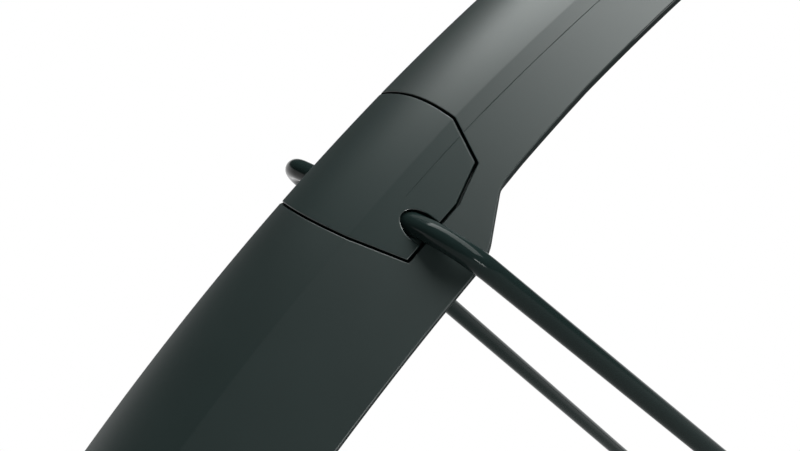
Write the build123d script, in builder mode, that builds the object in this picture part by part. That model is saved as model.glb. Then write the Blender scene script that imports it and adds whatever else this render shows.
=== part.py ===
# Rear bicycle mudguard with a U-shaped wire stay held under a flush cover.
# The wheel's axle is the origin: X points forward, Y to the left, Z up. Millimetres and degrees.
# An angle along the guard is counted from the top of the wheel towards the tail.
import os
from math import atan2, cos, degrees, hypot, radians, sin, tan

from build123d import *

# Guard: section
crease_radius = 366.0        # axle to the two creases beside the crown
crown_half_width = 8.56      # middle of the crown to a crease
crown_rise = 1.2             # bow of the crown between the creases
flank_run = 1.3              # sideways run of a flank for each millimetre that it drops
wall = 2.0
upper_drop = 6.2             # drop of the lip ahead of the stay
skirt_drop = 9.65            # drop of the lip behind the stay
crease_reach = 0.18          # rounding of a crease, each way from its corner
# Guard: length
nose_angle = -104.0
tail_angle = 78.0
step_angle = 36.75           # where the lip starts to widen into the skirt
step_slope = 0.545           # how steeply it does so
step_inner_round = 7.0
step_outer_round = 2.4
nose_round = 5.0
tail_round = 11.0

# Stay
rod_diameter = 3.1
rod_drop = 4.06              # middle of the rod's crossbar below the creases
stay_angle = 38.58
stay_half_width = 21.87      # middle of the guard to the rod's corner
stay_bend = 7.1
leg_pitch = 43.46            # legs below the horizontal, seen from the side
leg_splay = 9.1              # each leg outwards, seen along the legs' plane
leg_reach = 336.0            # crossbar to the eyes of the end clamps, along the legs' plane

# Cover over the crossbar, measured along the guard from the crossbar
cover_thickness = 1.4
cover_gap = 0.45
cover_ahead = 14.3           # to the upper edge, at the creases
cover_behind = 6.8           # to the lower edge, at the creases
cover_bow = 0.6
cover_flank = 6.29           # how far the cover reaches sideways past the creases
cover_side_ahead = 5.35
cover_side_behind = 4.4
cover_shoulder_ahead = 11.3
cover_shoulder_flank = 4.9
notch_clearance = 0.4

# Seat moulded inside the guard, below the cover
seat_wall = 2.0
seat_margin = 1.2
trough_clearance = 0.1
trough_wall = 1.6
pad_margin = 0.5             # flat face round a washer
face_allowance = 0.36        # for the bow of the seat, at the screws and hooks

# Cover screws and hooks
screw_ahead = 9.2
screw_side = 4.2
screw_diameter = 2.4
screw_head_diameter = 4.8
screw_head_height = 1.5
screw_bite = 3.0             # screw into its boss
washer_diameter = 6.4
washer_thickness = 0.5
boss_width = 4.2
hook_behind = 4.45
hook_side = 4.7
hook_width = 3.4
hook_thickness = 1.0
hook_catch = 0.6
hook_height = 0.9
saddle_side = 5.75
saddle_width = 1.5
fit = 0.1                    # play of a piece in its hole

# Bridge bracket, chain stay tab and their rivets
strip_thickness = 1.5
strip_half_width = 6.0
bridge_angle = -24.0         # middle of the bracket's foot
bridge_length = 26.0
bridge_height = 25.0         # crown to the middle of the hole
bridge_bore = 6.3
bend_round = 1.5
tab_overlap = 25.0           # length of the tab on the crown
tab_reach = 11.0             # nose to the middle of the hole
tab_bore = 5.3
rivet_spacing = 12.0
rivet_diameter = 4.0
rivet_head_diameter = 6.6
rivet_head_height = 1.3
rivet_head_taper = 25.0
rivet_tail_diameter = 5.6
rivet_tail_height = 1.0
rivet_tail_play = 0.01

# Clamps at the ends of the legs
eye_bore = 5.3
eye_diameter = 11.5
eye_thickness = 5.0
sleeve_diameter = 7.4
sleeve_start = 7.0           # middle of the eye to the sleeve
sleeve_length = 15.0
neck_length = 9.5
rod_stop = 9.0               # middle of the eye to the end of the rod
grub_place = 16.0
grub_diameter = 4.0
grub_length = 3.6
grub_socket = 2.0
grub_socket_depth = 1.6
grub_boss_diameter = 6.6

# Worked out from the sizes above
rod_radius = rod_diameter / 2
flank_slant = hypot(1, flank_run)
crown_slant = hypot(crown_half_width, 2 * crown_rise)
crown_radius = crown_half_width**2 / (2 * crown_rise)
corner_turn = (crown_half_width - 2 * crown_rise * flank_run) / (flank_slant * crown_slant)
corner_in = (crown_half_width / crown_slant - flank_run / flank_slant) / corner_turn
corner_down = (1 / flank_slant - 2 * crown_rise / crown_slant) / corner_turn
cover_half_width = crown_half_width + cover_flank
pocket_depth = cover_thickness
notch_radius = rod_radius + notch_clearance
trough_radius = rod_radius + trough_clearance
hump_radius = trough_radius + trough_wall
screw_face = pocket_depth + seat_wall + face_allowance
hook_face = pocket_depth + seat_wall - face_allowance
seat_span = degrees((cover_ahead + cover_behind + cover_bow * 2 + seat_margin * 4) / crease_radius)
step_run = (skirt_drop - upper_drop) * flank_slant / step_slope
screw_places = [(-screw_ahead, -screw_side), (-screw_ahead, screw_side)]
screw_pad_width = washer_diameter + 2 * pad_margin
hook_middle = hook_behind + hook_thickness / 2
hook_places = [(hook_middle, -hook_side), (hook_middle, hook_side)]
crown_top = crease_radius + crown_rise * (1 + crease_reach / crown_slant)
tab_angle = nose_angle + degrees(tab_overlap / 2 / crease_radius)
tab_hole = -tab_overlap / 2 - tab_reach
rivet_tail_sag = (
    (rivet_tail_diameter / 2) ** 2 / (2 * (crown_radius - wall))
    + ((rivet_spacing + rivet_tail_diameter) / 2) ** 2 / (2 * (crown_top - wall))
    + rivet_tail_play
)
leg_normal = Vector(sin(radians(leg_pitch)), 0, cos(radians(leg_pitch)))
leg_fall = Vector(cos(radians(leg_pitch)), 0, -sin(radians(leg_pitch)))
leg_axis = leg_fall * cos(radians(leg_splay)) + Vector(0, sin(radians(leg_splay)), 0)


def outward(angle):
    """Direction from the axle to the guard."""
    return Vector(-sin(radians(angle)), 0, cos(radians(angle)))


def rearward(angle):
    """Direction along the guard, towards the tail."""
    return Vector(-cos(radians(angle)), 0, -sin(radians(angle)))


def section_plane(angle):
    """Plane across the guard: x to the left, y outward from the axle."""
    return Plane(origin=(0, 0, 0), x_dir=(0, 1, 0), z_dir=-rearward(angle))


def touching_plane(angle, radius):
    """Plane that touches the guard: x towards the tail, y to the right, z outward."""
    return Plane(origin=outward(angle) * radius, x_dir=rearward(angle), z_dir=outward(angle))


def side_plane(angle, radius):
    """Upright plane along the guard: x towards the tail, y outward."""
    return Plane(origin=outward(angle) * radius, x_dir=rearward(angle), z_dir=(0, 1, 0))


def rivet_planes(angle):
    """Planes on top of a strip that touches the crown at an angle, one for each of its rivets."""
    middle = outward(angle) * (crown_top + strip_thickness)
    step = rearward(angle) * (rivet_spacing / 2)
    spots = (middle - step, middle + step)
    return [Plane(origin=spot, x_dir=(0, 1, 0), z_dir=outward(angle)) for spot in spots]


def flank_plane(angle, drop, side):
    """Plane on a flank's skin, z outward: x towards the tail, y down the right flank or up the left."""
    across, height = lip(drop, 0)
    origin = outward(angle) * height + Vector(0, side * across, 0)
    normal = outward(angle) * flank_run + Vector(0, side, 0)
    return Plane(origin=origin, x_dir=rearward(angle), z_dir=normal)


def lip(drop, depth):
    """Point of the left flank at a drop below the crease and a depth below the outer skin."""
    x = crown_half_width + flank_run * drop - depth / flank_slant
    return x, crease_radius - drop - depth * flank_run / flank_slant


def crease(depth):
    """Corner between crown and flank at a depth below the outer skin."""
    return crown_half_width - depth * corner_in, crease_radius - depth * corner_down


def skin_band(drop, shallow, deep):
    """Section between two depths below the outer skin, from lip to lip."""
    with BuildSketch() as band:
        with BuildLine():
            for depth in (shallow, deep):
                peak = Vector(0, crease_radius + 2 * crown_rise - depth * crown_slant / crown_half_width)
                reach = crease_reach if depth == 0 else 0
                inner_ends = []
                for side in (-1, 1):
                    corner = Vector(side * crease(depth)[0], crease(depth)[1])
                    end = Vector(side * lip(drop, depth)[0], lip(drop, depth)[1])
                    inner_ends.append(corner + (peak - corner).normalized() * reach)
                    outer_end = corner + (end - corner).normalized() * reach
                    if reach > 0:
                        Bezier(inner_ends[-1], corner, outer_end)
                    Line(outer_end, end)
                Bezier(inner_ends[0], peak, inner_ends[1])
            for side in (-1, 1):
                start, end = lip(drop, shallow), lip(drop, deep)
                Line((side * start[0], start[1]), (side * end[0], end[1]))
        make_face()
    return band.sketch


def cover_outline(grow):
    """Cover seen from outside, x towards the tail, grown all round."""
    with BuildSketch() as outline:
        with BuildLine():
            ThreePointArc(
                (-cover_ahead, -crown_half_width),
                (-cover_ahead - cover_bow, 0),
                (-cover_ahead, crown_half_width),
            )
            ThreePointArc(
                (cover_behind, -crown_half_width),
                (cover_behind + cover_bow, 0),
                (cover_behind, crown_half_width),
            )
            for side in (-1, 1):
                Polyline(
                    (-cover_ahead, side * crown_half_width),
                    (-cover_shoulder_ahead, side * (crown_half_width + cover_shoulder_flank)),
                    (-cover_side_ahead, side * cover_half_width),
                    (cover_side_behind, side * cover_half_width),
                    (cover_behind, side * crown_half_width),
                )
        make_face()
        if grow > 0:
            offset(amount=grow, kind=Kind.INTERSECTION)
    return outline.sketch


def cover_slab(shallow, deep, grow):
    """Piece of the guard's skin under the cover's outline, between two depths."""
    with BuildPart() as slab:
        with BuildSketch(section_plane(stay_angle + seat_span)):
            add(skin_band(skirt_drop, shallow, deep))
        revolve(axis=Axis.Y, revolution_arc=2 * seat_span)
        with BuildSketch(seat):
            add(cover_outline(grow))
        extrude(amount=2 * skirt_drop, both=True, mode=Mode.INTERSECT)
    return slab.part


seat = touching_plane(stay_angle, crease_radius)
crossbar = side_plane(stay_angle, crease_radius - rod_drop)
rivet_places = rivet_planes(bridge_angle) + rivet_planes(tab_angle)
legs = Plane(origin=crossbar.origin, x_dir=(0, 1, 0), z_dir=-leg_normal)
leg_end = leg_reach - rod_stop * cos(radians(leg_splay))
eye = legs.from_local_coords((stay_half_width + leg_reach * tan(radians(leg_splay)), leg_reach, 0))
grub_plane = Plane(origin=eye - leg_axis * grub_place, x_dir=leg_axis, z_dir=leg_normal)
os.makedirs("parts", exist_ok=True)

# Hump inside the guard, round the trough for the crossbar
with BuildPart() as hump:
    with BuildSketch(section_plane(stay_angle + seat_span)):
        add(skin_band(skirt_drop, wall / 2, hump_radius + rod_drop))
    revolve(axis=Axis.Y, revolution_arc=2 * seat_span)
    with BuildSketch(crossbar):
        Circle(hump_radius)
        Rectangle(2 * hump_radius, 2 * rod_drop, align=(Align.CENTER, Align.MIN))
    extrude(amount=2 * cover_half_width, both=True, mode=Mode.INTERSECT)

# Guard blade: one moulding, with the seat for the cover
with BuildPart() as guard_blade:
    with BuildSketch(section_plane(tail_angle)):
        add(skin_band(skirt_drop, 0, wall))
    revolve(axis=Axis.Y, revolution_arc=tail_angle - nose_angle)

    # narrower lips ahead of the stay, widening by a step on each side
    with BuildSketch(section_plane(step_angle)):
        for side in (-1, 1):
            x, y = lip(upper_drop, wall / 2)
            slant = degrees(atan2(-1, side * flank_run))
            with Locations((side * x, y)):
                Rectangle(skirt_drop * flank_slant, 3 * wall, slant, align=(Align.MIN, Align.CENTER))
    revolve(axis=Axis.Y, revolution_arc=step_angle - nose_angle + 1, mode=Mode.SUBTRACT)
    for side in (-1, 1):
        with BuildSketch(flank_plane(step_angle, upper_drop, side)):
            with BuildLine():
                Polyline(
                    (0, 0),
                    (2 * step_run, -side * 2 * step_run * step_slope),
                    (2 * step_run, -side * 3 * step_run * step_slope),
                    (-step_run / 4, -side * 3 * step_run * step_slope),
                    (-step_run / 4, -side * wall / 2),
                    close=True,
                )
            make_face()
        extrude(amount=3 * wall, both=True, mode=Mode.SUBTRACT)
    for angle, drop, radius in (
        (step_angle, upper_drop, step_inner_round),
        (step_angle + degrees(step_run / crease_radius), skirt_drop, step_outer_round),
        (tail_angle, skirt_drop, tail_round),
        (nose_angle, upper_drop, nose_round),
    ):
        for side in (-1, 1):
            corner = flank_plane(angle, drop, side).offset(-wall / 2).origin
            fillet(guard_blade.edges().sort_by_distance(corner)[0], radius=radius)

    # seat for the cover, with a flat face inside below each screw
    add(cover_slab(wall / 2, pocket_depth + seat_wall, cover_gap + seat_margin))
    add(hump.part)
    with BuildSketch(seat.offset(-pocket_depth - seat_wall / 2)):
        with Locations(*screw_places):
            Rectangle(screw_pad_width, screw_pad_width)
    extrude(amount=pocket_depth + seat_wall / 2 - screw_face)
    add(cover_slab(-wall, pocket_depth, cover_gap), mode=Mode.SUBTRACT)
    with BuildSketch(crossbar):
        Circle(trough_radius)
        Rectangle(2 * trough_radius, 3 * rod_drop, align=(Align.CENTER, Align.MIN))
    extrude(amount=2 * cover_half_width, both=True, mode=Mode.SUBTRACT)
    with BuildSketch(seat):
        with Locations(*screw_places):
            Rectangle(boss_width + 2 * fit, boss_width + 2 * fit)
        with Locations(*hook_places):
            Rectangle(hook_thickness + 2 * fit, hook_width + 2 * fit)
    extrude(amount=-3 * screw_face, mode=Mode.SUBTRACT)

    # rivet holes
    with Locations(*rivet_places):
        Hole(rivet_diameter / 2 + fit, depth=strip_thickness + 2 * wall)
guard_blade.part.label = "guard_blade"
export_step(guard_blade.part, "parts/guard_blade.step")

# Stay: one bent wire
with BuildPart() as u_stay:
    with BuildLine(legs) as wire:
        FilletPolyline(
            (-stay_half_width - leg_end * tan(radians(leg_splay)), leg_end),
            (-stay_half_width, 0),
            (stay_half_width, 0),
            (stay_half_width + leg_end * tan(radians(leg_splay)), leg_end),
            radius=stay_bend,
        )
    with BuildSketch(Plane(origin=wire.line @ 0, z_dir=wire.line % 0)):
        Circle(rod_radius)
    sweep(path=wire.line)
u_stay.part.label = "u_stay"
export_step(u_stay.part, "parts/u_stay.step")

# Cover: flush with the guard, with bosses for the screws, saddles on the rod and hooks at the lower edge
with BuildPart() as stay_cover:
    add(cover_slab(0, cover_thickness, 0))
    with BuildSketch(crossbar):
        Circle(notch_radius)
        Rectangle(2 * notch_radius, 2 * rod_drop, align=(Align.CENTER, Align.MAX))
    extrude(amount=2 * cover_half_width, both=True, mode=Mode.SUBTRACT)
    with BuildSketch(seat):
        with Locations(*screw_places):
            Rectangle(boss_width, boss_width)
    extrude(amount=-screw_face + fit)
    with BuildSketch(seat.offset(-cover_thickness / 4)):
        with Locations((0, -saddle_side), (0, saddle_side)):
            Rectangle(2 * rod_radius - 2 * fit, saddle_width)
    extrude(amount=cover_thickness / 4 - rod_drop)
    with BuildSketch(crossbar):
        Circle(rod_radius + fit / 2)
    extrude(amount=2 * cover_half_width, both=True, mode=Mode.SUBTRACT)
    with BuildSketch(seat.offset(-cover_thickness / 4)):
        with Locations(*hook_places):
            Rectangle(hook_thickness, hook_width)
    extrude(amount=cover_thickness / 4 - hook_face - hook_height)
    with BuildSketch(seat.offset(-hook_face)):
        with Locations(*hook_places):
            Rectangle(hook_thickness / 2 + hook_catch, hook_width, align=(Align.MIN, Align.CENTER))
    extrude(amount=-hook_height)
    with BuildSketch(seat.offset(-screw_face + fit)):
        with Locations(*screw_places):
            Circle(screw_diameter / 2 + fit / 2)
    extrude(amount=screw_bite, mode=Mode.SUBTRACT)
stay_cover.part.label = "stay_cover"
export_step(stay_cover.part, "parts/stay_cover.step")

# Washers and screws of the cover, put in from the tyre's side
with BuildPart() as cover_washers:
    with BuildSketch(seat.offset(-screw_face)):
        with Locations(*screw_places):
            Circle(washer_diameter / 2)
            Circle(screw_diameter / 2 + fit, mode=Mode.SUBTRACT)
    extrude(amount=-washer_thickness)
cover_washers.part.label = "cover_washers"
export_step(cover_washers.part, "parts/cover_washers.step")

with BuildPart() as cover_screws:
    head = seat.offset(-screw_face - washer_thickness)
    with BuildSketch(head):
        with Locations(*screw_places):
            Circle(screw_head_diameter / 2)
    extrude(amount=-screw_head_height)
    tops = cover_screws.faces().sort_by(Axis(head.origin, -head.z_dir))[-len(screw_places):]
    chamfer(tops.edges(), length=screw_head_height / 4)
    with BuildSketch(head):
        with Locations(*screw_places):
            Circle(screw_diameter / 2)
    extrude(amount=washer_thickness + screw_bite - 2 * fit)
cover_screws.part.label = "cover_screws"
export_step(cover_screws.part, "parts/cover_screws.step")

# Bridge bracket: a strip bent up from the crown, with a hole for the frame's bridge
foot = side_plane(bridge_angle, crown_top)
upright = Plane(
    origin=foot.from_local_coords((-bridge_length / 2, bridge_height, 0)),
    x_dir=(0, 1, 0),
    z_dir=-rearward(bridge_angle),
)
with BuildPart() as bridge_bracket:
    with BuildSketch(foot) as bent_strip:
        Rectangle(bridge_length, strip_thickness, align=(Align.CENTER, Align.MIN))
        with Locations((-bridge_length / 2, 0)):
            Rectangle(strip_thickness, bridge_height, align=Align.MIN)
        outer_bend = bent_strip.vertices().sort_by_distance((-bridge_length / 2, 0))[0]
        fillet(outer_bend, radius=bend_round + strip_thickness)
        inside = (-bridge_length / 2 + strip_thickness, strip_thickness)
        inner_bend = bent_strip.vertices().sort_by_distance(inside)[0]
        fillet(inner_bend, radius=bend_round)
    extrude(amount=strip_half_width, both=True)
    with BuildSketch(upright):
        Circle(strip_half_width)
    extrude(amount=-strip_thickness)
    with Locations(upright):
        Hole(bridge_bore / 2, depth=2 * strip_thickness)
    with Locations(*rivet_planes(bridge_angle)):
        Hole(rivet_diameter / 2 + fit, depth=2 * strip_thickness)
bridge_bracket.part.label = "bridge_bracket"
export_step(bridge_bracket.part, "parts/bridge_bracket.step")

# Chain stay tab: a strip that runs on past the nose
tab = touching_plane(tab_angle, crown_top)
with BuildPart() as chainstay_tab:
    with BuildSketch(tab):
        with Locations((tab_hole, 0)):
            Circle(strip_half_width)
            Rectangle(tab_overlap + tab_reach, 2 * strip_half_width, align=(Align.MIN, Align.CENTER))
            Circle(tab_bore / 2, mode=Mode.SUBTRACT)
    extrude(amount=strip_thickness)
    with Locations(*rivet_planes(tab_angle)):
        Hole(rivet_diameter / 2 + fit, depth=2 * strip_thickness)
chainstay_tab.part.label = "chainstay_tab"
export_step(chainstay_tab.part, "parts/chainstay_tab.step")

# Rivets of both strips, closed inside the guard
with BuildPart() as guard_rivets:
    for place in rivet_places:
        with BuildSketch(place):
            Circle(rivet_head_diameter / 2)
        extrude(amount=rivet_head_height, taper=rivet_head_taper)
        with BuildSketch(place):
            Circle(rivet_diameter / 2)
        extrude(amount=-strip_thickness - wall - rivet_tail_sag)
        with BuildSketch(place.offset(-strip_thickness - wall - rivet_tail_sag)):
            Circle(rivet_tail_diameter / 2)
        extrude(amount=-rivet_tail_height)
guard_rivets.part.label = "guard_rivets"
export_step(guard_rivets.part, "parts/guard_rivets.step")

# Clamps on the ends of the legs, each with an eye for the frame's bolt
with BuildPart() as stay_end_left:
    with BuildSketch(Plane(origin=eye, x_dir=-leg_fall, z_dir=(0, 1, 0))):
        Circle(eye_diameter / 2)
        Rectangle(neck_length, sleeve_diameter, align=(Align.MIN, Align.CENTER))
    extrude(amount=eye_thickness / 2, both=True)
    with BuildSketch(Plane(origin=eye - leg_axis * sleeve_start, z_dir=-leg_axis)):
        Circle(sleeve_diameter / 2)
    extrude(amount=sleeve_length)
    with BuildSketch(grub_plane):
        Circle(grub_boss_diameter / 2)
    extrude(amount=rod_radius + grub_length)
    with BuildSketch(Plane(origin=eye - leg_axis * (rod_stop - fit), z_dir=-leg_axis)):
        Circle(rod_radius + fit / 2)
    extrude(amount=sleeve_start + sleeve_length, mode=Mode.SUBTRACT)
    with BuildSketch(grub_plane):
        Circle(grub_diameter / 2 + fit / 2)
    extrude(amount=2 * grub_length, mode=Mode.SUBTRACT)
    with BuildSketch(Plane(origin=eye, x_dir=-leg_fall, z_dir=(0, 1, 0))):
        Circle(eye_bore / 2)
    extrude(amount=eye_thickness, both=True, mode=Mode.SUBTRACT)
stay_end_left.part.label = "stay_end_left"
export_step(stay_end_left.part, "parts/stay_end_left.step")

with BuildPart() as stay_end_right:
    mirror(stay_end_left.part, about=Plane.XZ)
stay_end_right.part.label = "stay_end_right"
export_step(stay_end_right.part, "parts/stay_end_right.step")

with BuildPart() as stay_grub_screws:
    with BuildSketch(grub_plane.offset(rod_radius + fit / 2)):
        Circle(grub_diameter / 2)
    extrude(amount=grub_length)
    with BuildSketch(grub_plane.offset(rod_radius + fit / 2 + grub_length)):
        RegularPolygon(grub_socket / 2, 6, major_radius=False)
    extrude(amount=-grub_socket_depth, mode=Mode.SUBTRACT)
    mirror(about=Plane.XZ)
stay_grub_screws.part.label = "stay_grub_screws"
export_step(stay_grub_screws.part, "parts/stay_grub_screws.step")
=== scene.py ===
from math import asin, cos, hypot, radians, sin, sqrt, tan

import bmesh
import bpy
from mathutils import Matrix, Vector


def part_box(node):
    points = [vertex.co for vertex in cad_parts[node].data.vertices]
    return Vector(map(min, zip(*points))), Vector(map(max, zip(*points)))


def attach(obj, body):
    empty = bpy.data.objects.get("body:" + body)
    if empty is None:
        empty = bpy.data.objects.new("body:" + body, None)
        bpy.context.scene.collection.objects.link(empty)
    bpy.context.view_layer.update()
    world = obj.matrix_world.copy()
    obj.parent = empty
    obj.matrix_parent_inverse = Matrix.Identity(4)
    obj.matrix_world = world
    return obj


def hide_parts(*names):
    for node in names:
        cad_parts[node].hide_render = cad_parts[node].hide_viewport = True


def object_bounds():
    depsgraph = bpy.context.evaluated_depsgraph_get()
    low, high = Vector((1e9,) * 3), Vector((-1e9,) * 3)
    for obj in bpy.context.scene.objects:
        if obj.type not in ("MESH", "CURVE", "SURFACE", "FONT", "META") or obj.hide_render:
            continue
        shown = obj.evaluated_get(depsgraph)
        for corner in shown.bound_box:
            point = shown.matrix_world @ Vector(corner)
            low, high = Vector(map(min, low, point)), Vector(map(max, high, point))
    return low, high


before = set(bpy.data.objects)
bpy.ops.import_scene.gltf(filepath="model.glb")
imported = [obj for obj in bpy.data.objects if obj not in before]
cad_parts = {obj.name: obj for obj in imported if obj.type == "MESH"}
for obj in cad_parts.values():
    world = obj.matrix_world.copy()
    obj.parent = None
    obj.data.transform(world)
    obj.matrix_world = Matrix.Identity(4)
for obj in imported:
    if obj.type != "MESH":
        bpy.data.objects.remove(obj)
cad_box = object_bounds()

# Guard blade
# One long moulding of dark slate plastic bent round the wheel, with a sunk seat for the stay's cover.
# It is drawn flat in mm, x forward from the crossbar, y over the skin, z outward, and laid round the wheel.
mm = 0.001
crease_radius = 366
stay_angle = radians(38.58)
nose_angle = radians(-104)
tail_angle = radians(78)
crown_half_width = 8.56
crown_rise = 1.2
crease_reach = 0.18
flank_run = 1.3
wall = 2
crease_spread = 0.72
spread_start, spread_end = 16, 50
flare_start = 30
step_place = 11.1
step_slope = 0.559
skin_drops = (6.21, 6.58, 9.61)
inner_drops = (6.27, 6.61, 9.53)
skin_rounds = (5, 5, 9, 11)
inner_rounds = (5, 1.5, 9, 11)
lip_round = 0.22
pocket_round = 0.12
groove_place = 2.33
groove_half_width = 0.07
groove_depth = 0.05
groove_margin = 0.04
pocket_depth = 1.4
seat_wall = 2
seat_margin = 1.2
cover_gap = 0.33
cover_ahead = 14.3
cover_behind = 6.8
cover_bow = 0.6
cover_corners = ((11.3, 13.46), (5.35, 14.85), (-4.4, 14.85))
rod_radius = 1.55
rod_drop = 4.06
trough_radius = rod_radius + 0.1
hump_radius = trough_radius + 1.6
pad_depth = 3.76
pad_start, pad_end, pad_near, pad_far = 5.5, 12.9, 0.5, 7.9
# The seat's gap, where the steep walls get the darkest painted shade.
shaded_gap_half_length, shaded_gap_half_width = 30, 17
sharp_turn = radians(35)
cut_margin = 0.02

flank_slant = hypot(1, flank_run)
flank_normal = Vector((1, flank_run)) / flank_slant
crown_slant = hypot(crown_half_width, 2 * crown_rise)
crease = Vector((crown_half_width, 0))
round_start = crease + Vector((-crown_half_width, 2 * crown_rise)) * crease_reach / crown_slant
round_end = crease + Vector((flank_run, -1)) * crease_reach / flank_slant
round_last = crown_half_width + crease_reach
crown_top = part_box("guard_blade")[1].x / mm - crease_radius
forward = Vector((cos(stay_angle), 0, sin(stay_angle)))
leftward = Vector((0, 1, 0))
outward = Vector((-sin(stay_angle), 0, cos(stay_angle)))
from_seat = Matrix((forward, leftward, outward)).transposed().to_4x4()
from_seat.translation = outward * crease_radius


def spread(along):
    """How far down the flanks the creases have moved, that far along the guard."""
    return crease_spread * min(max((along - spread_start) / (spread_end - spread_start), 0), 1)


def skin(across, along):
    """Where the outer skin lies: sideways and over the creases, and the skin's normal there."""
    side = -1 if across < 0 else 1
    reach = abs(across)
    shift = Vector((flank_run, -1)) * spread(along) / flank_slant
    widen = 1 + shift.x / round_start.x
    bend = (crown_top - round_start.y - shift.y) / (round_start.x + shift.x)**2
    normal = Vector((2 * bend * widen * min(reach, round_start.x), 1)).normalized()
    if reach <= round_start.x:
        place = Vector((reach * widen, crown_top - bend * (reach * widen)**2))
    elif reach < round_last:
        part = (reach - round_start.x) / (round_last - round_start.x)
        place = shift + round_start.lerp(crease, part).lerp(crease.lerp(round_end, part), part)
        normal = normal.lerp(flank_normal, part).normalized()
    else:
        place = shift + crease + Vector((flank_run, -1)) * (reach - crown_half_width) / flank_slant
        normal = flank_normal
    return side * place.x, place.y, side * normal.x, normal.y


def laid(flat):
    """A point of the flat shape, laid round the wheel."""
    sideways, height, normal_y, normal_z = skin(flat.y, flat.x)
    angle = stay_angle - flat.x / crease_radius
    radius = crease_radius + height + flat.z * normal_z
    return Vector((-radius * sin(angle), sideways + flat.z * normal_y, radius * cos(angle)))


def laid_normal(flat, normal):
    """A normal of the flat shape, turned as the skin turns there."""
    sideways, height, normal_y, normal_z = skin(flat.y, flat.x)
    angle = stay_angle - flat.x / crease_radius
    along = Vector((cos(angle), 0, sin(angle)))
    up = Vector((-sin(angle), 0, cos(angle)))
    across = leftward * normal_z - up * normal_y
    return along * normal.x + across * normal.y + (leftward * normal_y + up * normal_z) * normal.z


def from_plan(x, y):
    """The flat place of a point on the left half of the guard, seen straight from above the seat."""
    down_flank = max(y - crown_half_width, 0) / flank_run
    across = min(y, crown_half_width) + down_flank * flank_slant
    return Vector((crease_radius * asin(x / (crease_radius + skin(across, x)[1])), across, 0))


def cover_plan(grow):
    """The left half of the cover's outline from above, from its upper edge to its lower one, grown."""
    arc = [step / 10 for step in range(11)]
    bowed = [(cover_bow * (1 - part**2), crown_half_width * part) for part in arc]
    points = [Vector((cover_ahead + bow, y)) for bow, y in bowed]
    points += [Vector(corner) for corner in cover_corners]
    points += [Vector((-cover_behind - bow, y)) for bow, y in reversed(bowed)]
    ends = [Vector((p.x, -p.y)) for p in (points[1], points[-2])]
    grown = []
    for before, here, after in zip([ends[0]] + points, points, points[1:] + [ends[1]]):
        arriving = (here - before).normalized()
        leaving = (after - here).normalized()
        mitre = Vector((arriving.y + leaving.y, -arriving.x - leaving.x)).normalized()
        grown.append(here - mitre * grow / mitre.dot(Vector((-arriving.y, arriving.x))))
    return [(p.x, max(p.y, 0)) for p in grown]


def spaced(start, end, step):
    """Places from start to end, about a step apart."""
    count = max(1, round((end - start) / step))
    return [start + (end - start) * i / count for i in range(count + 1)]


def both_sides(places):
    """The places, and the same ones on the other side of the middle."""
    return [side * place for place in places for side in (-1, 1)]


def slice_faces(bm, axis, places, wanted=None):
    """Slices the wanted faces across an axis, from its low end up."""
    normal = Vector((axis == 0, axis == 1, 0))
    rest = [f for f in bm.faces if wanted is None or wanted(f.calc_center_bounds())]
    for place in sorted(places):
        parts = {part for f in rest for part in (*f.verts, *f.edges, f)}
        cut = bmesh.ops.bisect_plane(bm, geom=list(parts), dist=1e-5,
                                     plane_co=normal * place, plane_no=normal)
        faces = [part for part in cut["geom"] if isinstance(part, bmesh.types.BMFace)]
        rest = [f for f in faces if f.calc_center_bounds()[axis] > place]


def verts_of(parts):
    """The vertices among an operator's results."""
    return [part for part in parts if isinstance(part, bmesh.types.BMVert)]


def edges_of(parts):
    """The open edges among an operator's results."""
    return [part for part in parts if isinstance(part, bmesh.types.BMEdge) and part.is_boundary]


def everything(bm):
    """All of a mesh, as an operator takes it."""
    return bm.verts[:] + bm.edges[:] + bm.faces[:]


def new_piece(name, mesh):
    """An object for a finished mesh."""
    piece = bpy.data.objects.new(name, mesh)
    bpy.context.collection.objects.link(piece)
    return piece


def laid_piece(bm, name, settle, in_place=()):
    """Lays a flat shape round the wheel with its smooth normals. Vertices already in place stay there."""
    bm.normal_update()
    bm.verts.index_update()
    # Painted light by how faces turn: the bevelled rims (slot 1) get a lighter, glossier painted highlight,
    # the steep lip faces (slot 2) a darker painted shade, and the steep walls within the seat's gap (slot
    # 3) the darkest painted shade.
    for f in bm.faces:
        middle = f.calc_center_bounds()
        in_shaded_gap = abs(middle.x) < shaded_gap_half_length and abs(middle.y) < shaded_gap_half_width
        if abs(f.normal.z) < 0.3:
            f.material_index = 3 if in_shaded_gap else 2
        elif abs(f.normal.z) < 0.8:
            f.material_index = 1
    level = {v.index for f in bm.faces if f.normal.z > 0.9999 for v in f.verts}
    mesh = bpy.data.meshes.new(name)
    bm.to_mesh(mesh)
    bm.free()
    mesh.shade_smooth()
    mesh.set_sharp_from_angle(angle=sharp_turn)
    normals = [corner.vector.copy() for corner in mesh.corner_normals]
    for face in mesh.polygons:
        for corner in face.loop_indices:
            if face.normal.z > 0.9 and mesh.loops[corner].vertex_index in level:
                normals[corner] = Vector((0, 0, 1))
    flat = [v.co.copy() for v in mesh.vertices]
    moved = set(in_place)
    for v in mesh.vertices:
        place = laid(v.co)
        settled = v.co.copy() if v.index in moved else settle(v.co, place)
        if (settled - place).length > 1e-4:
            moved.add(v.index)
        v.co = settled * mm
    corners = []
    for loop in mesh.loops:
        point = flat[loop.vertex_index]
        plain = loop.vertex_index in moved or point.z < -0.6 * pocket_depth
        corners.append(Vector() if plain else laid_normal(point, normals[loop.index]))
    mesh.set_sharp_from_angle(angle=sharp_turn)
    mesh.normals_split_custom_set(corners)
    return new_piece(name, mesh)


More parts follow.
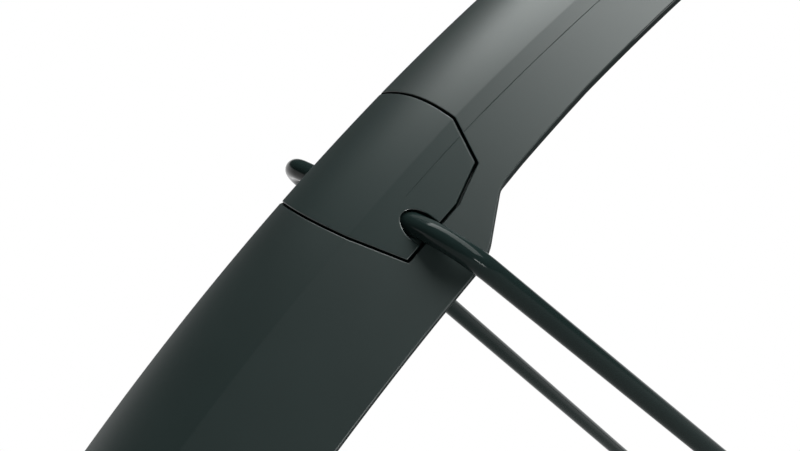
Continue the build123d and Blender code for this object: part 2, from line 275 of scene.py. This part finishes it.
def blade_sheet(bm, plan, height, drops, rounds):
    """One side of the flat blade with an outline let into it. Returns the faces inside the outline."""
    upper_lip, step_lip, skirt_lip = [crown_half_width + drop * flank_slant for drop in drops]
    step_end = step_place - (skirt_lip - step_lip) / step_slope
    nose, tail = [(stay_angle - angle) * crease_radius for angle in (nose_angle, tail_angle)]
    lip = [(x, upper_lip - spread(x)) for x in (nose, spread_end, flare_start)]
    lip += [(step_place, step_lip), (step_end, skirt_lip), (tail, skirt_lip)]
    edge = [(nose, 0)] + lip + [(tail, 0)]
    edge = [bm.verts.new((x, y, height)) for x, y in edge]
    inner = [bm.verts.new((*from_plan(x, y).xy, height)) for x, y in plan]
    bm.faces.new(edge + inner[::-1])
    bm.faces.new(inner)
    step_turn = asin(step_slope / hypot(1, step_slope))
    corners = (edge[1], *edge[4:7])
    turns = (radians(90), step_turn, step_turn, radians(90))
    for corner, radius, turn in zip(corners, rounds, turns):
        bmesh.ops.bevel(bm, geom=[corner], affect="VERTICES", offset=radius * tan(turn / 2),
                        offset_type="OFFSET", segments=10, profile=0.5, material=-1)
    sheet = [f for f in bm.faces if abs(f.calc_center_bounds().z - height) < 1e-6]
    parts = {part for f in sheet for part in (*f.verts, *f.edges, f)}
    bmesh.ops.mirror(bm, geom=list(parts), axis="Y", merge_dist=1e-4)
    sheet = [f for f in bm.faces if abs(f.calc_center_bounds().z - height) < 1e-6]
    return [f for f in sheet if max(v.co.x for v in f.verts) < 2 * cover_ahead]


blade_bm = bmesh.new()
pocket_floor = blade_sheet(blade_bm, cover_plan(cover_gap), 0, skin_drops, skin_rounds)
seat_floor = blade_sheet(blade_bm, cover_plan(cover_gap + seat_margin), -wall, inner_drops, inner_rounds)
bmesh.ops.bridge_loops(blade_bm, edges=[e for e in blade_bm.edges if e.is_boundary])
for floor_faces, depth in ((pocket_floor, pocket_depth), (seat_floor, pocket_depth + seat_wall - wall)):
    sunk = bmesh.ops.extrude_face_region(blade_bm, geom=floor_faces)["geom"]
    bmesh.ops.delete(blade_bm, geom=floor_faces, context="FACES_KEEP_BOUNDARY")
    bmesh.ops.translate(blade_bm, verts=verts_of(sunk), vec=(0, 0, -depth))
bmesh.ops.recalc_face_normals(blade_bm, faces=blade_bm.faces)
lips = [e for e in blade_bm.edges if e.calc_face_angle(0) > 1]
lips = [e for e in lips if max(abs(v.co.z) for v in e.verts) < 1e-6]
pocket_rim = [e for e in lips if any(abs(min(v.co.z for v in f.verts) + pocket_depth) < 0.1
                                     for f in e.link_faces)]
lips = [e for e in lips if e not in pocket_rim]
for edges, radius in ((lips, lip_round), (pocket_rim, pocket_round)):
    bmesh.ops.bevel(blade_bm, geom=edges, affect="EDGES", offset=radius,
                    segments=3, profile=0.5, material=-1)

groove = crown_half_width + groove_place
groove_edge = groove_half_width + groove_margin
groove_shifts = (-groove_edge, -groove_half_width, 0, groove_half_width, groove_edge)
groove_lines = both_sides(groove + shift for shift in groove_shifts)
crown_lines = spaced(-round_start.x, round_start.x, 0.85)
crown_lines += both_sides(spaced(round_start.x, round_last, 0.07))
slice_faces(blade_bm, 1, crown_lines + groove_lines)
view_start, view_end = -48, 80
fine_lines = spaced(view_start, view_end, 0.8)
tail_lines = spaced((stay_angle - tail_angle) * crease_radius, view_start, 4)[1:-1]
nose_lines = spaced(view_end, (stay_angle - nose_angle) * crease_radius, 4)[1:-1]
rod_lines = both_sides(radius * sin(radians(turn)) for radius in (trough_radius, hump_radius)
                       for turn in (15, 30, 43, 55, 67, 78, 86))
rod_lines += both_sides((trough_radius + cut_margin, hump_radius + cut_margin))
pad_lines = [end + shift for end in (pad_start, pad_end) for shift in (-cut_margin, cut_margin)]
slice_faces(blade_bm, 0, fine_lines + tail_lines + nose_lines + rod_lines + pad_lines)
flank_lines = both_sides(spaced(9.5, 22, 0.5))
pad_sides = both_sides(side + shift for side in (pad_near, pad_far) for shift in (-cut_margin, cut_margin))
slice_faces(blade_bm, 1, flank_lines, lambda middle: abs(middle.x) < hump_radius + 1)
slice_faces(blade_bm, 1, pad_sides,
            lambda middle: pad_start - 1 < middle.x < pad_end + 1 and middle.z < -wall)
for v in blade_bm.verts:
    if abs(abs(v.co.y) - groove) < 1e-4 and abs(v.co.z) < 1e-6 and v.co.x > 0:
        v.co.z = -groove_depth


def seated(flat, place):
    """Sinks the trough, the hump round it and the washers' flat faces into the seat."""
    along, sideways, high = from_seat.inverted() @ place
    if flat.z > -0.8 * wall and abs(along) < trough_radius:
        high = min(high, -rod_drop - sqrt(trough_radius**2 - along**2))
    if flat.z < -0.8 * wall and abs(along) < hump_radius:
        high = min(high, -rod_drop - sqrt(hump_radius**2 - along**2))
    if flat.z < -wall and pad_start < along < pad_end and pad_near < abs(sideways) < pad_far:
        high = min(high, -pad_depth)
    return from_seat @ Vector((along, sideways, high))


def moulded_plastic(name, colour, roughness, gloss):
    """Satin plastic with a fine moulded grain and faint clouds in its shade."""
    material = bpy.data.materials.new(name)
    material.use_nodes = True
    nodes, links = material.node_tree.nodes, material.node_tree.links
    plastic = nodes["Principled BSDF"]
    plastic.inputs["Specular IOR Level"].default_value = gloss
    place = nodes.new("ShaderNodeTexCoord")
    clouds = nodes.new("ShaderNodeTexNoise")
    clouds.inputs["Scale"].default_value = 60
    clouds.inputs["Detail"].default_value = 3
    shades = nodes.new("ShaderNodeValToRGB")
    for stop, position, level in zip(shades.color_ramp.elements, (0.3, 0.7), (0.94, 1.06)):
        stop.position = position
        stop.color = (*[part * level for part in colour], 1)
    sheen = nodes.new("ShaderNodeMapRange")
    sheen.inputs["To Min"].default_value = roughness - 0.02
    sheen.inputs["To Max"].default_value = roughness + 0.02
    grain = nodes.new("ShaderNodeTexNoise")
    grain.inputs["Scale"].default_value = 4500
    grain.inputs["Detail"].default_value = 2
    bump = nodes.new("ShaderNodeBump")
    bump.inputs["Strength"].default_value = 0.1
    bump.inputs["Distance"].default_value = 0.00003
    links.new(place.outputs["Object"], clouds.inputs["Vector"])
    links.new(place.outputs["Object"], grain.inputs["Vector"])
    links.new(clouds.outputs["Fac"], shades.inputs["Fac"])
    links.new(clouds.outputs["Fac"], sheen.inputs["Value"])
    links.new(grain.outputs["Fac"], bump.inputs["Height"])
    links.new(shades.outputs["Color"], plastic.inputs["Base Color"])
    links.new(sheen.outputs["Result"], plastic.inputs["Roughness"])
    links.new(bump.outputs["Normal"], plastic.inputs["Normal"])
    return material


guard_blade = laid_piece(blade_bm, "guard_blade_moulding", seated)
slate_plastic = moulded_plastic("slate_plastic", (0.006, 0.014, 0.0132), 0.44, 0.69)
# Painted highlight: the bevelled rims get a lighter copy of the slate plastic, also smoother and glossier.
rim_highlight_plastic = moulded_plastic("rim_painted_highlight_plastic", (0.008, 0.0175, 0.0165), 0.27, 1)
# Painted shade: the steep lip faces get a darker, matt copy of the slate plastic.
lip_shade_plastic = moulded_plastic("lip_painted_shade_plastic", (0.0055, 0.011, 0.0105), 0.6, 0.03)
# Painted shade: the walls in the seat's gap get a much darker, matt copy of the slate plastic.
gap_shade_plastic = moulded_plastic("gap_painted_shade_plastic", (0.0025, 0.0045, 0.0043), 0.6, 0.03)
for plastic in (slate_plastic, rim_highlight_plastic, lip_shade_plastic, gap_shade_plastic):
    guard_blade.data.materials.append(plastic)
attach(guard_blade, "root")
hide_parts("guard_blade")

# Stay
# One length of steel wire with a smooth black coat, bent into a U: a short crossbar under the cover and
# two long legs that splay towards the wheel's axle. Its ends sit in the clamps.
stay_half_width = 21.87
stay_bend = 7.1
leg_pitch = radians(43.46)
leg_splay = radians(9.1)
leg_reach = 336
rod_stop = 9
bend_turn = radians(90) - leg_splay
bend_reach = stay_bend * tan(bend_turn / 2)
bend_middle = Vector((stay_half_width - bend_reach, stay_bend, 0))
leg = Vector((sin(leg_splay), cos(leg_splay), 0)) * (leg_reach / cos(leg_splay) - rod_stop - bend_reach)
fall = Vector((cos(leg_pitch), 0, -sin(leg_pitch)))
from_stay = Matrix((leftward, fall, leftward.cross(fall))).transposed().to_4x4()
from_stay.translation = outward * (crease_radius - rod_drop)
wire_bm = bmesh.new()
bmesh.ops.create_circle(wire_bm, segments=56, radius=rod_radius,
                        matrix=Matrix.Rotation(radians(90), 4, "Y"))
run = bmesh.ops.extrude_edge_only(wire_bm, edges=wire_bm.edges[:])["geom"]
bmesh.ops.translate(wire_bm, verts=verts_of(run), vec=(bend_middle.x, 0, 0))
wire_bend = bmesh.ops.spin(wire_bm, geom=edges_of(run), cent=bend_middle, axis=(0, 0, 1),
                           angle=bend_turn, steps=40)
run = wire_bend["geom_last"]
for share in (0.1, 0.3, 0.6):
    run = bmesh.ops.extrude_edge_only(wire_bm, edges=edges_of(run))["geom"]
    bmesh.ops.translate(wire_bm, verts=verts_of(run), vec=leg * share)
bmesh.ops.contextual_create(wire_bm, geom=edges_of(run))
bmesh.ops.mirror(wire_bm, geom=everything(wire_bm), axis="X", merge_dist=1e-4)
bmesh.ops.recalc_face_normals(wire_bm, faces=wire_bm.faces)
bmesh.ops.transform(wire_bm, matrix=Matrix.Scale(mm, 4) @ from_stay, verts=wire_bm.verts)
wire_mesh = bpy.data.meshes.new("stay_wire")
wire_bm.to_mesh(wire_mesh)
wire_bm.free()
wire_mesh.shade_smooth()
wire_mesh.set_sharp_from_angle(angle=radians(40))
stay_wire = new_piece("stay_wire", wire_mesh)

gloss_black = bpy.data.materials.new("gloss_black_coat")
gloss_black.use_nodes = True
coat_nodes, coat_links = gloss_black.node_tree.nodes, gloss_black.node_tree.links
coat = coat_nodes["Principled BSDF"]
coat.inputs["Base Color"].default_value = (0.009, 0.0162, 0.0155, 1)
coat.inputs["Specular IOR Level"].default_value = 0.09
coat_place = coat_nodes.new("ShaderNodeTexCoord")
coat_waves = coat_nodes.new("ShaderNodeTexNoise")
coat_waves.inputs["Scale"].default_value = 900
coat_gloss = coat_nodes.new("ShaderNodeMapRange")
coat_gloss.inputs["To Min"].default_value = 0.1
coat_gloss.inputs["To Max"].default_value = 0.15
coat_bump = coat_nodes.new("ShaderNodeBump")
coat_bump.inputs["Strength"].default_value = 0.05
coat_bump.inputs["Distance"].default_value = 0.00003
coat_links.new(coat_place.outputs["Object"], coat_waves.inputs["Vector"])
coat_links.new(coat_waves.outputs["Fac"], coat_gloss.inputs["Value"])
coat_links.new(coat_gloss.outputs["Result"], coat.inputs["Roughness"])
coat_links.new(coat_waves.outputs["Fac"], coat_bump.inputs["Height"])
coat_links.new(coat_bump.outputs["Normal"], coat.inputs["Normal"])
stay_wire.data.materials.append(gloss_black)
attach(stay_wire, "root")
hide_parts("u_stay")

# Cover
# A lid of the same plastic, flush in the guard over the stay's crossbar and notched for the two legs.
# Two hooks behind the crossbar snap into the seat, and two bosses ahead of it take the screws from inside.
cover_thickness = 1.4
cover_edge_round = 0.18
notch_radius = rod_radius + 0.4
boss_width, boss_ahead, boss_aside, boss_foot = 4.2, 9.2, 4.2, -3.66
hook_thickness, hook_width, hook_behind, hook_aside, hook_foot = 1.0, 3.4, 4.95, 4.7, -3.94
catch_reach, catch_height = 0.6, 0.9
catch_middle = -hook_behind - (hook_thickness + catch_reach) / 2
catch_level = hook_foot + catch_height / 2
plan = cover_plan(0)
notch_middle = crown_half_width + flank_run * rod_drop
notch_turns = [radians(90 * step / 8) for step in range(9)]
notch_side = [(notch_radius * sin(turn), notch_middle - flank_run * notch_radius * cos(turn))
              for turn in notch_turns]
notch_side.append((notch_radius, cover_corners[-1][1]))
mouth = notch_side[::-1] + [(-x, y) for x, y in notch_side[1:]]
behind_mouth = next(i for i, (x, y) in enumerate(plan) if x < 0)
cover_bm = bmesh.new()
notched_plan = plan[:behind_mouth] + mouth + plan[behind_mouth:]
cover_bm.faces.new([cover_bm.verts.new(from_plan(x, y)) for x, y in notched_plan])
bmesh.ops.mirror(cover_bm, geom=everything(cover_bm), axis="Y", merge_dist=1e-4)
under = bmesh.ops.extrude_face_region(cover_bm, geom=cover_bm.faces[:], use_keep_orig=True)["geom"]
bmesh.ops.translate(cover_bm, verts=verts_of(under), vec=(0, 0, -cover_thickness))
bmesh.ops.recalc_face_normals(cover_bm, faces=cover_bm.faces)
rim = [e for e in cover_bm.edges if e.calc_face_angle(0) > 1 and max(abs(v.co.z) for v in e.verts) < 1e-6]
bmesh.ops.bevel(cover_bm, geom=rim, affect="EDGES", offset=cover_edge_round,
                segments=3, profile=0.5, material=-1)
slice_faces(cover_bm, 1, crown_lines + groove_lines)
notch_lines = both_sides(notch_radius * sin(turn) for turn in notch_turns[1:])
slice_faces(cover_bm, 0, spaced(-7.5, 15, 0.5) + notch_lines)
slice_faces(cover_bm, 1, flank_lines, lambda middle: abs(middle.x) < notch_radius + 1)
for v in cover_bm.verts:
    if abs(abs(v.co.y) - groove) < 1e-4 and abs(v.co.z) < 1e-6 and v.co.x > notch_radius:
        v.co.z = -groove_depth
cover_bm.verts.index_update()
lid_verts = len(cover_bm.verts)
for side in (-1, 1):
    for size, middle in (
        ((boss_width, boss_width, -boss_foot), (boss_ahead, side * boss_aside, boss_foot / 2)),
        ((hook_thickness, hook_width, -hook_foot), (-hook_behind, side * hook_aside, hook_foot / 2)),
        ((catch_reach, hook_width, catch_height), (catch_middle, side * hook_aside, catch_level)),
    ):
        stand = from_seat @ Matrix.Translation(middle) @ Matrix.Diagonal((*size, 1))
        bmesh.ops.create_cube(cover_bm, size=1, matrix=stand)
cover_bm.verts.index_update()


def over_rod(flat, place):
    """Keeps the underside of the cover clear of the crossbar."""
    along, sideways, high = from_seat.inverted() @ place
    if abs(along) < notch_radius and high > -rod_drop:
        high = max(high, -rod_drop + sqrt(notch_radius**2 - along**2))
    return from_seat @ Vector((along, sideways, high))


stay_cover = laid_piece(cover_bm, "stay_cover_lid", over_rod, range(lid_verts, len(cover_bm.verts)))
cover_plastic = moulded_plastic("cover_plastic", (0.006, 0.0145, 0.0137), 0.44, 0.53)
# The cover's rims, lips and walls take the same painted highlight and painted shades as the blade.
for plastic in (cover_plastic, rim_highlight_plastic, lip_shade_plastic, gap_shade_plastic):
    stay_cover.data.materials.append(plastic)
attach(stay_cover, "root")
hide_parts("stay_cover")

# Cover screws and washers
# Two small zinc-plated screws with washers under their heads.
# They are driven into the cover's bosses from inside the guard.


def plated_metal(name, colour, roughness, scratches):
    """Metal with fine uneven wear in its polish."""
    material = bpy.data.materials.new(name)
    material.use_nodes = True
    nodes, links = material.node_tree.nodes, material.node_tree.links
    metal = nodes["Principled BSDF"]
    metal.inputs["Base Color"].default_value = (*colour, 1)
    metal.inputs["Metallic"].default_value = 1
    place = nodes.new("ShaderNodeTexCoord")
    wear = nodes.new("ShaderNodeTexNoise")
    wear.inputs["Scale"].default_value = scratches
    wear.inputs["Detail"].default_value = 4
    polish = nodes.new("ShaderNodeMapRange")
    polish.inputs["To Min"].default_value = roughness - 0.1
    polish.inputs["To Max"].default_value = roughness + 0.1
    bump = nodes.new("ShaderNodeBump")
    bump.inputs["Strength"].default_value = 0.08
    bump.inputs["Distance"].default_value = 0.00003
    links.new(place.outputs["Object"], wear.inputs["Vector"])
    links.new(wear.outputs["Fac"], polish.inputs["Value"])
    links.new(polish.outputs["Result"], metal.inputs["Roughness"])
    links.new(wear.outputs["Fac"], bump.inputs["Height"])
    links.new(bump.outputs["Normal"], metal.inputs["Normal"])
    return material


def finish_node(name, material):
    """Gives a piece kept from the solid model its material."""
    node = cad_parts[name]
    node.data.materials.clear()
    node.data.materials.append(material)


zinc_plate = plated_metal("zinc_plate", (0.4, 0.41, 0.42), 0.45, 1500)
finish_node("cover_screws", zinc_plate)
finish_node("cover_washers", zinc_plate)

# Bridge bracket and chain stay tab
# Two plated strips of pressed steel, riveted on the outside of the crown for the bolts to the frame.
# The bracket is bent up to a hole above the crown, and the tab reaches past the guard's nose.
pressed_steel = plated_metal("pressed_steel", (0.3, 0.31, 0.32), 0.5, 700)
finish_node("bridge_bracket", pressed_steel)
finish_node("chainstay_tab", pressed_steel)

# Rivets
# Four aluminium rivets with flat, tapered heads. They hold the bracket and the tab to the crown.
aluminium = plated_metal("rivet_aluminium", (0.42, 0.43, 0.44), 0.52, 1200)
finish_node("guard_rivets", aluminium)

# Stay clamps and their screws
# Moulded black eyes on the ends of the legs, each bolted to the frame near the axle.
# A small grub screw in each one pinches the wire.
clamp_plastic = moulded_plastic("clamp_plastic", (0.011, 0.0125, 0.0125), 0.48, 0.5)
finish_node("stay_end_left", clamp_plastic)
finish_node("stay_end_right", clamp_plastic)
finish_node("stay_grub_screws", zinc_plate)

# Floor
# A pale studio floor of matt paint under the guard. It keeps the guard's shadow close by, and runs out
# into plain white all round.
floor_bm = bmesh.new()
bmesh.ops.create_grid(floor_bm, x_segments=1, y_segments=1, size=40)
bmesh.ops.translate(floor_bm, verts=floor_bm.verts, vec=(0, 0, cad_box[0].z))
floor_mesh = bpy.data.meshes.new("floor")
floor_bm.to_mesh(floor_mesh)
floor_bm.free()
floor = new_piece("floor", floor_mesh)
floor_paint = bpy.data.materials.new("floor_paint")
floor_paint.use_nodes = True
floor_nodes, floor_links = floor_paint.node_tree.nodes, floor_paint.node_tree.links
paint = floor_nodes["Principled BSDF"]
paint.inputs["Base Color"].default_value = (0.42, 0.42, 0.42, 1)
paint.inputs["Roughness"].default_value = 0.9
paint.inputs["Specular IOR Level"].default_value = 0
floor_place = floor_nodes.new("ShaderNodeTexCoord")
distance = floor_nodes.new("ShaderNodeVectorMath")
distance.operation = "LENGTH"
whiteness = floor_nodes.new("ShaderNodeMapRange")
whiteness.inputs["From Min"].default_value = 0.18
whiteness.inputs["From Max"].default_value = 0.4
ray = floor_nodes.new("ShaderNodeLightPath")
seen = floor_nodes.new("ShaderNodeMath")
seen_or_through = floor_nodes.new("ShaderNodeMath")
seen_or_through.use_clamp = True
white_part = floor_nodes.new("ShaderNodeMath")
white_part.operation = "MULTIPLY"
white = floor_nodes.new("ShaderNodeEmission")
floor_mix = floor_nodes.new("ShaderNodeMixShader")
floor_links.new(floor_place.outputs["Object"], distance.inputs[0])
floor_links.new(distance.outputs["Value"], whiteness.inputs["Value"])
floor_links.new(ray.outputs["Is Camera Ray"], seen.inputs[0])
floor_links.new(ray.outputs["Is Glossy Ray"], seen.inputs[1])
floor_links.new(seen.outputs["Value"], seen_or_through.inputs[0])
floor_links.new(ray.outputs["Is Transmission Ray"], seen_or_through.inputs[1])
floor_links.new(whiteness.outputs["Result"], white_part.inputs[0])
floor_links.new(seen_or_through.outputs["Value"], white_part.inputs[1])
floor_links.new(white_part.outputs["Value"], floor_mix.inputs["Fac"])
floor_links.new(paint.outputs["BSDF"], floor_mix.inputs[1])
floor_links.new(white.outputs["Emission"], floor_mix.inputs[2])
floor_links.new(floor_mix.outputs["Shader"], floor_nodes["Material Output"].inputs["Surface"])
floor.data.materials.append(floor_paint)

# Light
# A dim room with a pale horizon, and one large softbox overhead in front of the stay.
# A small lamp stands low on the right.
world = bpy.data.worlds.new("studio")
bpy.context.scene.world = world
world.use_nodes = True
world_nodes, world_links = world.node_tree.nodes, world.node_tree.links
room = world_nodes["Background"]
room.inputs["Color"].default_value = (1, 1, 1, 1)
room_direction = world_nodes.new("ShaderNodeTexCoord")
room_height = world_nodes.new("ShaderNodeSeparateXYZ")
room_level = world_nodes.new("ShaderNodeMapRange")
room_level.inputs["From Min"].default_value = 0
room_level.inputs["From Max"].default_value = 0.08
room_level.inputs["To Min"].default_value = 0.8
room_level.inputs["To Max"].default_value = 0.05
world_links.new(room_direction.outputs["Generated"], room_height.inputs["Vector"])
world_links.new(room_height.outputs["Z"], room_level.inputs["Value"])
world_links.new(room_level.outputs["Result"], room.inputs["Strength"])

stay_middle = from_seat.translation * mm
for name, place, turn, size, size_y, power in (
    ("softbox", Vector((0.4, 0.01, 1.2)), (0, 0, 0.093), 0.85, 2.54, 50),
    ("side_lamp", Vector((-0.27, -0.96, 0.1)), (radians(84), radians(35), -0.27), 0.4, 0.09, 3.8),
):
    lamp = bpy.data.lights.new(name, "AREA")
    lamp.shape = "RECTANGLE"
    lamp.size = size
    lamp.size_y = size_y
    lamp.energy = power
    lamp.color = (0.965, 1, 0.985)
    stand = bpy.data.objects.new(name, lamp)
    stand.location = stay_middle + place
    stand.rotation_euler = turn
    bpy.context.collection.objects.link(stand)

# Camera
# Behind the guard on its right, a little above the stay.
camera_lens = bpy.data.cameras.new("camera")
camera_lens.lens = 50.4
camera_lens.sensor_width = 36
camera_lens.clip_start = 0.01
camera = bpy.data.objects.new("camera", camera_lens)
camera.location = (-0.30463, -0.12198, 0.33197)
camera.rotation_euler = (radians(90 - 19.986), 0, radians(-34.937))
bpy.context.collection.objects.link(camera)
bpy.context.scene.camera = camera
bpy.context.scene.view_settings.view_transform = "Standard"
